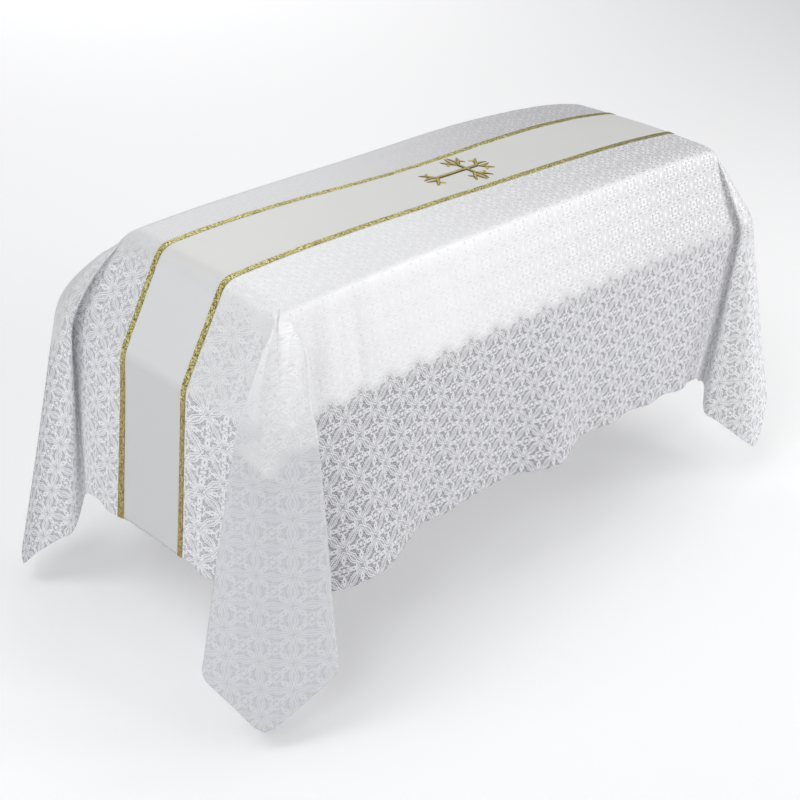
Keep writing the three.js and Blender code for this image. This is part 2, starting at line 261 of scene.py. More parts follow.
# Lines of the weave over the top and down the ends, and columns along the sides. Towards the
# corners the lines draw in by the bend, to meet at the top's inner corner.
edges = (0, braidInner, braidOuter, halfWidth)
spans = zip(edges[:-1], edges[1:], steps["linesAcross"])
farOffsets = np.concatenate([np.linspace(begin, end, count)[1:] for begin, end, count in spans])
offsets = np.concatenate([-farOffsets[::-1], [0], farOffsets])
sideX = np.linspace(-halfLength, halfLength, steps["sideColumns"] + 1)


def drawnIn(place, begins, ends):
    # A place that draws in by the top's bend from where that begins to the corner
    share = np.clip((abs(place) - begins) / (ends - begins), 0, 1)
    return place - np.sign(place) * cloth["topBend"] * share


drawnFromX, drawnFromY = cloth["drawnInFrom"]
innerOffsets = drawnIn(offsets, drawnFromY, halfWidth)
innerX = drawnIn(sideX, drawnFromX, halfLength)


def drapedColumns(inner, bend, slope, skirt, slopeLengths, skirtLengths):
    # Each column: a soft bend at the top's edge, the slope, a bend at the rim, and the skirt to the hem
    edgeShare = (cloth["topBend"] / slopeLengths)[:, None]
    rimShare = (1 - cloth["rimBend"] / slopeLengths)[:, None]
    skirtShare = (cloth["rimBend"] / skirtLengths)[:, None]
    lastShare = 1 - steps["lastSkirtRow"] / skirtLengths[:, None]
    hemShares = 1 - steps["hemRows"] / skirtLengths[:, None]
    whole = np.ones_like(rimShare)
    return np.concatenate([
        arc(inner, bend, slope(edgeShare)[:, 0], steps["edgeRows"]),
        slope(mix(edgeShare, rimShare, steps["slopeRows"])),
        arc(slope(rimShare)[:, 0], slope(whole)[:, 0], skirt(skirtShare)[:, 0], steps["rimRows"]),
        skirt(mix(skirtShare, lastShare, steps["skirtRows"])),
        skirt(hemShares),
    ], axis=1)


def endColumns(sign, panel):
    # From the top's end edge straight down the slope, then down the skirt with its flutes. The foot
    # skirt's middle swings sideways by a power of the way down.
    y = lineAcross(offsets, sign * halfLength)
    innerY = drawnIn(y, drawnFromY, halfWidth)
    rimY = lineAcross(offsets, sign * (halfLength + slopeLength))
    hemY = lineAcross(offsets, sign * cloth["length"] / 2)
    edgeX = sign * halfLength
    innerEnd = sign * (halfLength - cloth["topBend"])
    inner = points(innerEnd, innerY, topHeight(innerEnd, innerY), innerEnd, innerOffsets)
    edge = points(edgeX, y, topHeight(edgeX, y), edgeX, offsets)
    bend = points(edgeX, innerY, topHeight(edgeX, innerY), edgeX, innerOffsets)
    rimX, rimZ = sign * (halfLength + cloth["facetReach"]), edge[:, 2] - cloth["facetDrop"]
    rim = points(rimX, rimY, rimZ, sign * (halfLength + slopeLength), offsets)
    drop = fallEnd - slopeLength
    beside = np.clip((cloth["swingWithin"] - abs(y[:, None])) / cloth["swingFade"], 0, 1)
    swing = cloth["footSwing"] * eased(beside) if sign < 0 else 0

    def slope(s):
        return mix(edge[:, None], rim[:, None], s[..., None])

    def skirt(s):
        out = cloth["facetReach"] + cloth["endLean"] * s + fluteDepth(panel, y[:, None], s)
        across = mix(rimY[:, None], hemY[:, None], s) + swing * s ** cloth["swingPower"]
        z, flatX = rimZ[:, None] - drop * s, sign * (halfLength + slopeLength + drop * s)
        return points(sign * (halfLength + out), across, z, flatX, offsets[:, None])

    lengths = np.full(len(offsets), slopeLength)
    return drapedColumns(inner, bend, slope, skirt, lengths, np.full(len(offsets), drop))


def sideColumns(sign, panel):
    # The same from the top's long edge
    edgeY = sign * halfWidth
    innerY = sign * (halfWidth - cloth["topBend"])
    inner = points(innerX, innerY, topHeight(innerX, innerY), innerX, innerY)
    edge = points(sideX, edgeY, topHeight(sideX, edgeY), sideX, edgeY)
    bend = points(innerX, edgeY, topHeight(innerX, edgeY), innerX, edgeY)
    rimY, rimZ = sign * (halfWidth + cloth["facetReach"]), edge[:, 2] - cloth["facetDrop"]
    rim = points(sideX, rimY, rimZ, sideX, sign * (halfWidth + slopeLength))
    drop = fallSide - slopeLength

    def slope(s):
        return mix(edge[:, None], rim[:, None], s[..., None])

    def skirt(s):
        out = cloth["facetReach"] + cloth["sideLean"] * s + fluteDepth(panel, sideX[:, None], s)
        z, flatY = rimZ[:, None] - drop * s, sign * (halfWidth + slopeLength + drop * s)
        return points(sideX[:, None], sign * (halfWidth + out), z, sideX[:, None], flatY)

    lengths = np.full(len(sideX), slopeLength)
    return drapedColumns(inner, bend, slope, skirt, lengths, np.full(len(sideX), drop))


def roundedPath(places, angles, rounds):
    # A path through lines, whose corners are quadratic curves between straight runs. The flat angle
    # follows it: straight along the runs, and through each line's own angle in the bends.
    spans = np.linalg.norm(np.diff(places, axis=0), axis=1)
    back = np.minimum(rounds[1:-1] / spans[:-1], cloth["longestRound"])[:, None]
    ahead = np.minimum(rounds[1:-1] / spans[1:], cloth["longestRound"])[:, None]
    path = np.column_stack([places, angles])
    here = path[1:-1]
    start = mix(here, path[:-2], back)
    stop = mix(here, path[2:], ahead)
    t = np.linspace(0, 1, steps["bendColumns"])[None, :, None]
    bends = mix(mix(start[:, None], here[:, None], t), mix(here[:, None], stop[:, None], t), t)
    weights = np.stack([(1 - t) * (1 - 2 * t), 4 * t * (1 - t), t * (2 * t - 1)])[..., 0]
    bends[..., 2] = weights[0] * start[:, 2:] + weights[1] * here[:, 2:] + weights[2] * stop[:, 2:]
    leave = np.vstack([path[:1], stop])[:, None]
    arrive = np.vstack([start, path[-1:]])[:, None]
    runs = mix(leave, arrive, np.linspace(0, 1, steps["runColumns"] + 2)[1:-1][None, :, None])
    joined = np.concatenate([runs[:-1], bends], axis=1).reshape(-1, 3)
    columns = np.vstack([joined, runs[-1]])
    return columns[:, :2], np.radians(columns[:, 2])


def flatReach(angle):
    # From a top corner to the hem at an angle on the flat cloth, whose own corner is a little rounded
    n = cloth["hemCornerSharpness"]
    return ((np.cos(angle) / fallEnd) ** n + (np.sin(angle) / fallSide) ** n) ** (-1 / n)


def tailColumns3d(name, signX, signY):
    # Down the slope the pleat closes from its open form to its form at the rim, at the cloth's own
    # distance from the corner. Below the rim each column runs straight and keeps its length. Near the
    # corner the cloth is a plain hip, a superellipse of power 3, before its folds begin. One fold
    # sweeps over the side's slope, by s times the square of 1 - s, and one tail swells by s times
    # 1 - s. 27/4 and 4 bring the greatest value of these to one.
    rows = tails[name]

    def whole(level, lean, middle=None):
        # The path at one level, from the end panel's edge through the pleat to the side panel's
        if middle is None:
            middle = np.column_stack([rows[level + "Out"], rows[level + "Across"]])
        first, last = (cloth["facetReach"] + lean[0], 0), (0, cloth["facetReach"] + lean[1])
        angles = np.concatenate([[0], rows[level + "Angle"], [90]])
        rounds = np.concatenate([[0], rows[level + "Round"], [0]])
        return roundedPath(np.vstack([first, middle, last]).astype(float), angles, rounds)

    openPlace, _ = whole("rim", (0, 0), openTails.get(name, openTails["other"]))
    rimPlace, rimAngle = whole("rim", (0, 0))
    hemPlace, hemAngle = whole("hem", (cloth["endLean"], cloth["sideLean"]))
    lengths = slopeLength + cloth["hipExtra"] * np.sin(2 * rimAngle) ** 2
    reach = flatReach(hemAngle)
    cornerX, cornerY = signX * halfLength, signY * halfWidth
    corner = points(cornerX, cornerY, topHeight(cornerX, cornerY), cornerX, cornerY)
    innerX, innerY = cornerX - signX * cloth["topBend"], cornerY - signY * cloth["topBend"]
    inner = points(innerX, innerY, topHeight(innerX, innerY), innerX, innerY)
    turn = np.array([signX, signY])
    degrees = np.degrees(rimAngle)
    swept = np.clip((degrees - cloth["sweepFrom"]) / cloth["sweepRise"], 0, 1)
    swept = swept * np.clip((cloth["sweepTo"] - degrees) / cloth["sweepFall"], 0, 1)
    sweep = eased(swept)[:, None] * (cloth["footSweep"] if name == "footNear" else 0)
    swell = cloth["farSwell"] if name == "footFar" else 0
    plain = np.stack([np.cos(rimAngle), np.sin(rimAngle)], -1).clip(0) ** (2 / 3)
    hip = cloth["facetReach"] * plain
    rimFlat = lengths[:, None] * np.stack([np.cos(rimAngle), np.sin(rimAngle)], -1)
    hemFlat = reach[:, None] * np.stack([np.cos(hemAngle), np.sin(hemAngle)], -1)

    def put(place, down, flat):
        return corner + np.concatenate([place * turn, -down[..., None], flat * turn], axis=-1)

    def slope(s):
        share = s[..., None]
        closed = share + (eased(share) - share) * cloth["pleatOpening"]
        folded = mix(openPlace[:, None], rimPlace[:, None], closed)
        begun = np.clip((share - cloth["foldsFrom"]) / cloth["foldsWithin"], 0, 1)
        place = mix(hip[:, None], folded, eased(begun)) * share
        place *= 1 + 4 * swell * share * (1 - share)
        down = np.sqrt((lengths[:, None] * s) ** 2 - (place ** 2).sum(-1))
        place[..., 0] -= sweep * 27 / 4 * s * (1 - s) ** 2
        return put(place, down, rimFlat[:, None] * share)

    skirtLengths = reach - lengths
    drift = np.linalg.norm(hemPlace - rimPlace, axis=1)
    drop = np.sqrt(skirtLengths ** 2 - drift ** 2)
    foldDown = np.sqrt(lengths ** 2 - (rimPlace ** 2).sum(-1))

    def skirt(s):
        share = s[..., None]
        place = mix(rimPlace[:, None], hemPlace[:, None], share)
        flat = mix(rimFlat[:, None], hemFlat[:, None], share)
        return put(place, foldDown[:, None] + drop[:, None] * s, flat)

    x, y = np.array([innerX, innerY])[:, None] + cloth["topBend"] * turn[:, None] * plain.T
    bend = points(x, y, topHeight(x, y), x, y)
    inner = np.repeat(inner[None], len(lengths), axis=0)
    return drapedColumns(inner, bend, slope, skirt, lengths, skirtLengths)


def ringColumns():
    # All columns, counterclockwise from above, beginning at the head end's near edge
    return [
        endColumns(1, "head"),
        tailColumns3d("headFar", 1, 1),
        sideColumns(1, "far")[::-1],
        tailColumns3d("footFar", -1, 1)[::-1],
        endColumns(-1, "foot")[::-1],
        tailColumns3d("footNear", -1, -1),
        sideColumns(-1, "near"),
        tailColumns3d("headNear", 1, -1)[::-1],
    ]


def topPoints():
    # A grid over the top, whose edges are the columns' inner ends
    x = innerX[:, None]
    stretched = x * halfLength / innerX[-1]
    y = drawnIn(lineAcross(offsets, stretched), drawnFromY, halfWidth)
    return points(x, y, topHeight(x, y), x, innerOffsets)


def quadsOf(index):
    # The faces of a grid whose points are numbered by its rows and columns
    return np.stack([index[:-1, :-1], index[1:, :-1], index[1:, 1:], index[:-1, 1:]], -1).reshape(-1, 4)


def surfaceOfCloth():
    # The top's grid and the ring of columns as one list of points, with the faces between them
    top = topPoints()
    sections = ringColumns()
    topIndex = np.arange(top.shape[0] * top.shape[1]).reshape(top.shape[:2])
    tailCount = len(sections[1])
    inside = np.concatenate([
        topIndex[-1], np.full(tailCount, topIndex[-1, -1]),
        topIndex[::-1, -1], np.full(tailCount, topIndex[0, -1]),
        topIndex[0, ::-1], np.full(tailCount, topIndex[0, 0]),
        topIndex[:, 0], np.full(tailCount, topIndex[-1, 0]),
    ])
    ring = np.concatenate(sections)
    count, rows = ring.shape[:2]
    own = topIndex.size + np.arange(count * (rows - 1)).reshape(count, rows - 1)
    ringIndex = np.concatenate([inside[:, None], own], axis=1)
    closed = np.concatenate([ringIndex, ringIndex[:1]])
    quads = quadsOf(closed)[:, [0, 3, 2, 1]]
    crown = quadsOf(topIndex)
    pointed = quads[:, 0] == quads[:, 3]
    faces = [*crown.tolist(), *quads[~pointed].tolist(), *quads[pointed][:, :3].tolist()]
    halves = [quads[:, :3], quads[~pointed][:, [0, 2, 3]]]
    triangles = np.concatenate([crown[:, :3], crown[:, [0, 2, 3]], *halves])
    places = np.concatenate([top.reshape(-1, 5), ring[:, 1:].reshape(-1, 5)])
    return places, faces, triangles, topIndex, ringIndex, tailCount


def normalsOf(places, triangles):
    # The mean direction of the triangles round each point, larger ones counting more
    a, b, c = (places[triangles[:, k], :3] for k in range(3))
    flat = np.cross(b - a, c - a)
    total = np.zeros((len(places), 3))
    for k in range(3):
        for axis in range(3):
            total[:, axis] += np.bincount(triangles[:, k], flat[:, axis], len(places))
    return total / np.linalg.norm(total, axis=1)[:, None]


# Creases listed on the flat cloth: from and to, lengthwise and across, width and height.
# A height below zero is a trough.
creases = table("fromU fromV toU toV width height", [
    (-905, -150, -1160, -172, 12, -4.5),
    (-905, -185, -1180, -215, 16, 4),
    (-900, -226, -1020, -244, 10, -5),
    (-1060, -128, -1540, -235, 19, -12),
    (-1180, -140, -1680, -190, 24, 9),
    (-1010, -205, -1400, -238, 13, 5),
    (-966, 295, -1176, 431, 7, -5),
    (-961, 301, -1155, 459, 7, 5),
    (-955, 307, -1130, 490, 7, -5),
    (-1180, 205, -1640, 215, 15, 5),
    (-1240, 175, -1640, 165, 14, -4),
    (-800, -262, -850, -560, 14, -5),
    (-745, -262, -800, -560, 18, 4),
    (-665, -275, -700, -560, 12, -5.5),
    (-600, -290, -640, -520, 16, 2.2),
    (-570, -560, -630, -1010, 22, -9),
    (180, -262, 150, -520, 26, 2),
    (520, -280, 470, -540, 24, 1.6),
    (-240, -300, -300, -540, 22, 1.5),
    (560, -60, 760, -72, 9, 0.8),
    (430, 30, 620, 24, 10, 0.7),
    (-560, -40, -300, -50, 12, 0.6),
    (-760, 60, -520, 54, 12, 0.6),
    (-470, 262, -520, 540, 22, 2.2),
    (330, 262, 360, 540, 22, 2.2),
    (1000, 150, 1640, 170, 20, 4),
    (1020, -160, 1640, -180, 20, 4),
])
ripples = {
    "seed": 11,
    "count": 26,
    "shortest": 90,
    "longest": 420,
    "top": 0.28,
    "slope": 0.5,
    "skirt": 1.1,
    "skirtSqueeze": 0.3,
}
hem = {
    "depth": 16,
    "lift": 0.45,
    "stepPast": 1.5,
    "stepRun": 2,
    "stitchDip": 0.5,
    "stitchHalf": 1.6,
}


def creaseHeight(flat):
    # Each crease is a bell across its line, and rises and falls along it as half a sine wave
    start = np.stack([creases["fromU"], creases["fromV"]], -1)
    span = np.stack([creases["toU"], creases["toV"]], -1) - start
    length = np.linalg.norm(span, axis=1)
    away = flat[:, None] - start
    share = (away * span).sum(-1) / length ** 2
    across = (away[..., 0] * span[:, 1] - away[..., 1] * span[:, 0]) / length
    along = np.sin(math.pi * np.clip(share, 0, 1))
    return (creases["height"] * along * np.exp(-(across / creases["width"]) ** 2)).sum(-1)


def rippleHeight(flat):
    # A sum of sine waves in seeded directions and lengths. On the skirts they run up and down.
    random = np.random.default_rng(ripples["seed"])
    count = ripples["count"]
    shortest, longest = math.log(ripples["shortest"]), math.log(ripples["longest"])
    waveLength = np.exp(random.uniform(shortest, longest, count))
    heading = random.uniform(0, math.pi, count)
    phase = random.uniform(0, 2 * math.pi, count)
    wave = 2 * math.pi / waveLength
    pastEnd = abs(flat[:, 0]) - halfLength
    pastSide = abs(flat[:, 1]) - halfWidth
    past = np.maximum(pastEnd, pastSide)
    squeezeU = np.where(pastEnd > slopeLength, ripples["skirtSqueeze"], 1)[:, None]
    squeezeV = np.where(pastSide > slopeLength, ripples["skirtSqueeze"], 1)[:, None]
    turned = flat[:, :1] * squeezeU * np.cos(heading) + flat[:, 1:] * squeezeV * np.sin(heading)
    waves = np.sin(turned * wave + phase).sum(-1) / math.sqrt(count)
    rim = np.clip(past / slopeLength, 0, 1)
    below = np.clip((past - slopeLength) / (fallSide - slopeLength), 0, 1)
    amount = ripples["top"] + (ripples["slope"] - ripples["top"]) * rim + ripples["skirt"] * below
    return waves * amount


def hemHeight(flat):
    # The hem is folded in and stitched: a small step out, and a fine dip along the stitches
    toHem = np.minimum(cloth["length"] / 2 - abs(flat[:, 0]), cloth["width"] / 2 - abs(flat[:, 1]))
    step = np.clip((hem["depth"] + hem["stepPast"] - toHem) / hem["stepRun"], 0, 1)
    return hem["lift"] * step - hem["stitchDip"] * bell(toHem, hem["depth"], hem["stitchHalf"])


def meshPiece(name, places, faces, uvs):
    # A mesh object from points in millimetres, faces and a flat place for each point
    mesh = bpy.data.meshes.new(name)
    mesh.from_pydata((places * mm).tolist(), [], faces)
    corners = np.empty(len(mesh.loops), dtype=np.int32)
    mesh.loops.foreach_get("vertex_index", corners)
    layer = mesh.uv_layers.new(name="flat")
    layer.data.foreach_set("uv", (uvs[corners] * mm).ravel())
    mesh.polygons.foreach_set("use_smooth", np.ones(len(mesh.polygons), dtype=bool))
    mesh.update()
    piece = bpy.data.objects.new(name, mesh)
    bpy.context.scene.collection.objects.link(piece)
    return piece


def thicken(piece, thickness, side):
    # A thickness in millimetres, centred on the surface or behind
    modifier = piece.modifiers.new("thickness", "SOLIDIFY")
    modifier.thickness = thickness * mm
    modifier.offset = side
    return piece


places, clothFaces, triangles, topIndex, ringIndex, tailCount = surfaceOfCloth()
flat = places[:, 3:]
normals = normalsOf(places, triangles)
lift = creaseHeight(flat) + rippleHeight(flat) + hemHeight(flat)
places[:, :3] += normals * lift[:, None]
normals = normalsOf(places, triangles)
clothPiece = meshPiece("pall_cloth_draped", places[:, :3], clothFaces, flat)
thicken(clothPiece, cloth["thickness"], 0)
print("cloth:", len(clothFaces), "faces")

# The sewn strips follow the weave's lines from hem to hem
strips = {
    "bandLift": 0.9,
    "bandThickness": 0.5,
    "bandUnderBraid": 6,
    "bandLines": 25,
    "bandStep": 11,
    "braidLift": 1.45,
    "braidThickness": 0.9,
    "braidLines": 13,
    "braidStep": 3.2,
    "ribHeight": 0.35,
    "ribs": 3,
    "chevronHeight": 0.25,
    "chevronPitch": 9,
    "chevronShare": 0.6,
    "edgeSteepness": 6,
    "margin": 8,  # lines are read this far beside a strip
}


def clothLine(j):
    # The points of the cloth along its line j, from the foot hem over the top to the head hem
    footColumn = 2 * len(offsets) + 2 * tailCount + len(sideX) - 1 - j
    return np.concatenate([ringIndex[footColumn, ::-1][:-1], topIndex[:, j], ringIndex[j, 1:]])


def stripGrid(low, high, across, stepLength):
    # Points, normals and flat places between two offsets, sampled evenly along and across
    margin = strips["margin"]
    inRange = np.flatnonzero((offsets >= low - margin) & (offsets <= high + margin))
    lines = np.stack([clothLine(j) for j in inRange])
    values = np.concatenate([places[lines], normals[lines]], axis=-1)
    along = values[0, :, 3]
    finer = np.arange(along[0], along[-1], stepLength)
    finer = np.append(finer, along[-1])
    place = np.searchsorted(along, finer[1:-1]) - 1
    share = ((finer[1:-1] - along[place]) / (along[place + 1] - along[place]))[None, :, None]
    between = mix(values[:, place], values[:, place + 1], share)
    values = np.concatenate([values[:, :1], between, values[:, -1:]], axis=1)
    wanted = np.linspace(low, high, across)
    line = np.clip(np.searchsorted(offsets[inRange], wanted) - 1, 0, len(inRange) - 2)
    share = (wanted - offsets[inRange][line]) / (offsets[inRange][line + 1] - offsets[inRange][line])
    return mix(values[line], values[line + 1], share[:, None, None])


def stripPiece(name, grid, height, thickness):
    # A sheet over the strip's grid at a height above the cloth, with a thickness behind it
    surface = grid[..., :3] + grid[..., 5:] * height[..., None]
    rows, columns = grid.shape[:2]
    faces = quadsOf(np.arange(rows * columns).reshape(rows, columns))[:, [0, 3, 2, 1]]
    middle = grid[rows // 2, :, 3]
    across = np.linspace(0, 1, rows) * np.linalg.norm(surface[-1, 0] - surface[0, 0])
    uvs = np.stack(np.broadcast_arrays(middle[None], across[:, None]), -1).reshape(-1, 2)
    return thicken(meshPiece(name, surface.reshape(-1, 3), faces.tolist(), uvs), thickness, -1)


bandEdge = braidInner + strips["bandUnderBraid"]
bandGrid = stripGrid(-bandEdge, bandEdge, strips["bandLines"], strips["bandStep"])
bandTop = np.full(bandGrid.shape[:2], strips["bandLift"] + strips["bandThickness"])
bandPiece = stripPiece("centre_band_satin", bandGrid, bandTop, strips["bandThickness"])


def braidPiece(name, low, high):
    # Three rounded ribs along the braid, crossed by a fine chevron
    grid = stripGrid(low, high, strips["braidLines"], strips["braidStep"])
    share = np.linspace(0, 1, strips["braidLines"])[:, None]
    ribs = strips["ribHeight"] * abs(np.sin(math.pi * strips["ribs"] * share))
    slant = grid[..., 3] / strips["chevronPitch"] + abs(share - 0.5) * 2
    chevron = strips["chevronHeight"] * np.sin(2 * math.pi * slant)
    edges = np.minimum(np.minimum(share, 1 - share) * strips["edgeSteepness"], 1)
    relief = ribs + chevron * edges * strips["chevronShare"]
    height = strips["braidLift"] + strips["braidThickness"] + relief
    return stripPiece(name, grid, height, strips["braidThickness"])


braidNear = braidPiece("braid_near_gold", -braidOuter, -braidInner)
braidFar = braidPiece("braid_far_gold", braidInner, braidOuter)
print("strips: band and two braids")

cross = {
    "crossing": 60,
    "head": 88,
    "foot": 166,
    "side": 75,
    "fork": 46,
    "stemWidth": 13,
    "stemHeight": 2.7,
    "stemPower": 12,
    "lift": 1.5,
    "stemOverlap": (-3, 5),  # past the crossing and the fork
    "domePower": 0.7,
    "layer": 0.02,
    "weld": 0.004,
    "pathSteps": 26,
    "sectionSteps": 12,
}
# Each arm's strokes: four points of a curve, outwards from the arm's tip and sideways, then the
# stroke's widest width and its height
strokes = [
    (-50, 0, -36, 10, -20, 11, 2, 3, 10.0, 2.3),
    (-48, 0, -36, 8, -30, 22, -8, 35, 11.0, 2.5),
    (-32, 14, -28, 22, -32, 30, -43, 34, 7.5, 1.9),
]


def strokeSurface(path, width, height, stem):
    # A raised stitched stroke along a cubic curve of four points: its half width swells along the
    # curve and closes at both ends, and its section is a low dome over a flat back
    t = np.linspace(0, 1, cross["pathSteps"])[:, None]
    p = path.reshape(4, 2)
    line = (1 - t) ** 3 * p[0] + 3 * t * (1 - t) ** 2 * p[1]
    line += 3 * t * t * (1 - t) * p[2] + t ** 3 * p[3]
    ahead = np.gradient(line, axis=0)
    ahead /= np.linalg.norm(ahead, axis=1)[:, None]
    aside = np.stack([-ahead[:, 1], ahead[:, 0]], -1)
    swell = np.sqrt(np.clip(1 - (2 * t[:, 0] - 1) ** (cross["stemPower"] if stem else 2), 0, 1))
    around = np.linspace(0, 2 * math.pi, cross["sectionSteps"], endpoint=False)
    sideways = swell[:, None] * width / 2 * np.cos(around)
    up = swell[:, None] ** cross["domePower"] * height * np.maximum(np.sin(around), 0)
    flatPlaces = line[:, None] + aside[:, None] * sideways[..., None]
    run = np.concatenate([[0], np.cumsum(np.linalg.norm(np.diff(line, axis=0), axis=1))])
    uvs = np.stack(np.broadcast_arrays(run[:, None], np.cos(around) * width / 2), -1)
    return flatPlaces, up, uvs


def crossPiece():
    # Four arms of one stem and mirrored strokes, turned about the crossing and laid on the band
    vertices, faces, uvs = [], [], []
    centre = np.array([cross["crossing"], sewn["offset"] + sewn["skew"] * cross["crossing"]])
    index = np.arange(cross["pathSteps"] * cross["sectionSteps"]).reshape(cross["pathSteps"], -1)
    oneStroke = quadsOf(np.hstack([index, index[:, :1]]))
    for arm, turn in (("head", 0), ("side", 1), ("foot", 2), ("side", 3)):
        reach = cross[arm]
        fork = reach - cross["fork"]
        back, ahead = cross["stemOverlap"]
        stem = np.array([back, 0, fork / 3, 0, fork * 2 / 3, 0, fork + ahead, 0], float)
        items = [(stem, cross["stemWidth"], cross["stemHeight"], True)]
        for *curve, width, height in strokes:
            path = np.array(curve, float)
            path[0::2] += reach
            items += [(path * np.tile([1, side], 4), width, height, False) for side in (1, -1)]
        cosine, sine = round(math.cos(turn * math.pi / 2)), round(math.sin(turn * math.pi / 2))
        for path, width, height, isStem in items:
            place, up, uv = strokeSurface(path, width, height, isStem)
            x = centre[0] + place[..., 0] * cosine - place[..., 1] * sine
            y = centre[1] + place[..., 0] * sine + place[..., 1] * cosine
            z = topHeight(x, y) + cross["lift"] + up + cross["layer"] * len(vertices)
            faces += (oneStroke + len(vertices) * index.size).tolist()
            vertices.append(np.stack([x, y, z], -1).reshape(-1, 3))
            uvs.append(uv.reshape(-1, 2))
    piece = meshPiece("cross_embroidered", np.concatenate(vertices), faces, np.concatenate(uvs))
    work = bmesh.new()
    work.from_mesh(piece.data)
    bmesh.ops.remove_doubles(work, verts=work.verts, dist=cross["weld"] * mm)
    bmesh.ops.recalc_face_normals(work, faces=work.faces)
    work.to_mesh(piece.data)
    work.free()
    return piece


crossWork = crossPiece()
print("cross:", len(crossWork.data.polygons), "faces")


class Graph:
    # A material's nodes, with short ways to add maths and textures
    def __init__(self, name):
        self.material = bpy.data.materials.new(name)
        self.material.use_nodes = True
        self.tree = self.material.node_tree
        self.shader = self.tree.nodes["Principled BSDF"]

    def feed(self, socket, value):
        # A link from a node's output, or a fixed value
        if isinstance(value, bpy.types.NodeSocket):
            self.tree.links.new(value, socket)
        else:
            socket.default_value = value

    def add(self, kind, settings=None, **inputs):
        node = self.tree.nodes.new(kind)
        for key, value in (settings or {}).items():
            setattr(node, key, value)
        for key, value in inputs.items():
            self.feed(node.inputs[key], value)
        return node

    def math(self, operation, *values, clamp=False):
        node = self.add("ShaderNodeMath", {"operation": operation, "use_clamp": clamp})
        for socket, value in zip(node.inputs, values):
            self.feed(socket, value)
        return node.outputs[0]

    def plus(self, a, b):
        return self.math("ADD", a, b)

    def minus(self, a, b):
        return self.math("SUBTRACT", a, b)

    def times(self, a, b):
        return self.math("MULTIPLY", a, b)

    def over(self, a, b, clamp=False):
        return self.math("DIVIDE", a, b, clamp=clamp)

    def size(self, a):
        return self.math("ABSOLUTE", a)

    def rise(self, value, start, run):
        # Nought up to the start, and one from a run further on
        return self.over(self.minus(value, start), run, clamp=True)

    def between(self, share, low, high):
        # A number from low to high by the share
        return self.math("MULTIPLY_ADD", share, high - low, low)

    def blend(self, share, a, b):
        # A colour from a to b by the share
        node = self.add("ShaderNodeMix", {"data_type": "RGBA"})
        for key, value in (("Factor", share), ("A", a), ("B", b)):
            self.feed(node.inputs[key], (*value, 1) if isinstance(value, tuple) else value)
        return node.outputs["Result"]

    def line(self, distance, halfWidth, softness):
        # One on a line of that half width, falling softly to nought beside it
        away = self.minus(self.size(distance), halfWidth)
        return self.math("SUBTRACT", 1, self.over(away, softness), clamp=True)

    def most(self, masks):
        # The greatest of several masks
        total = masks[0]
        for mask in masks[1:]:
            total = self.math("MAXIMUM", total, mask)
        return total

    def flatPlace(self):
        # The place on the flat cloth, and its parts lengthwise and across
        place = self.add("ShaderNodeUVMap", {"uv_map": "flat"}).outputs["UV"]
        parts = self.add("ShaderNodeSeparateXYZ", Vector=place).outputs
        return place, parts["X"], parts["Y"]

    def objectPlace(self):
        return self.add("ShaderNodeTexCoord").outputs["Object"]

    def noise(self, place, scale, detail, **more):
        node = self.add("ShaderNodeTexNoise", Vector=place, Scale=scale, Detail=detail, **more)
        return node.outputs["Fac"]

    def threads(self, place, scale, **more):
        # Fine lines across the piece's length
        node = self.add("ShaderNodeTexWave", Vector=place, Scale=scale, **more)
        node.bands_direction = "X"
        return node.outputs["Fac"]

    def set(self, sockets):
        # The shader's own sockets, by name
        for name, value in sockets.items():
            self.feed(self.shader.inputs[name], value)
        return self.material

    def finish(self, values, height, colour, **linked):
        # A bump of this height, the finish's fixed values, and what its nodes give
        strength, depth = values["relief"]
        bump = self.add("ShaderNodeBump", Strength=strength, Distance=depth, Height=height)
        self.set({**values["sockets"], **linked})
        return self.set({"Base Color": colour, "Normal": bump.outputs["Normal"]})


